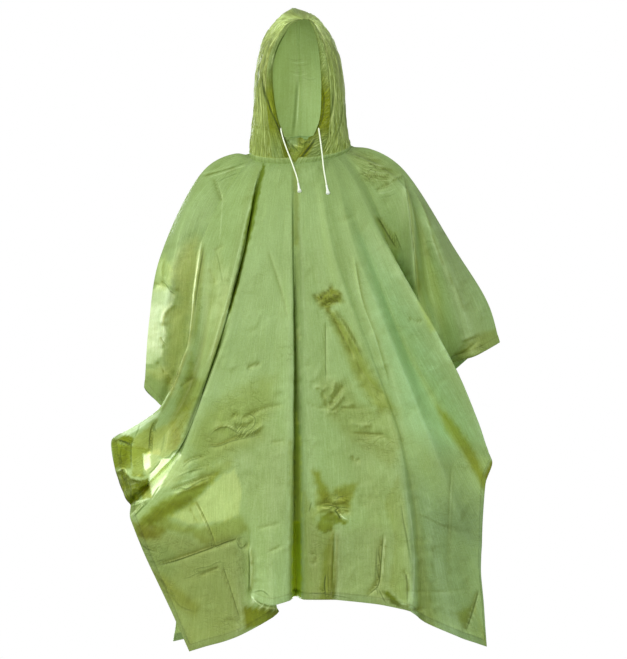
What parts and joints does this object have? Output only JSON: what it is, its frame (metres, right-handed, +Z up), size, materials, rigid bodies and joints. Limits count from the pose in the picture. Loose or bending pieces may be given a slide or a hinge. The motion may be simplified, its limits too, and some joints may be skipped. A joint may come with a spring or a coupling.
{
  "type": "rain poncho",
  "caption": "Hooded rain poncho of thin film, worn over slightly raised arms, with a gathered hood and a drawstring.",
  "frame": {"origin": "middle of the neck opening, on the level of the shoulders that carry the sheet", "axes": "+Z up, the front faces -Y, the wearer's left arm is at +X"},
  "size_m": [0.8403, 0.513, 1.3874],
  "materials": {
    "green_film": "satin, slightly translucent olive-green film",
    "white_cord": "matt braided cord",
    "white_plastic": "semi-matt"
  },
  "bodies": {
    "root": {"front": "green_film", "back": "green_film", "hood_right": "green_film", "hood_left": "green_film", "casing_right": "green_film", "casing_left": "green_film", "neck_seam": "green_film", "hem_front": "green_film", "hem_back": "green_film", "drawstring_right": "white_cord", "drawstring_left": "white_cord", "cord_end_right": "white_plastic", "cord_end_left": "white_plastic"}
  },
  "joints": []
}
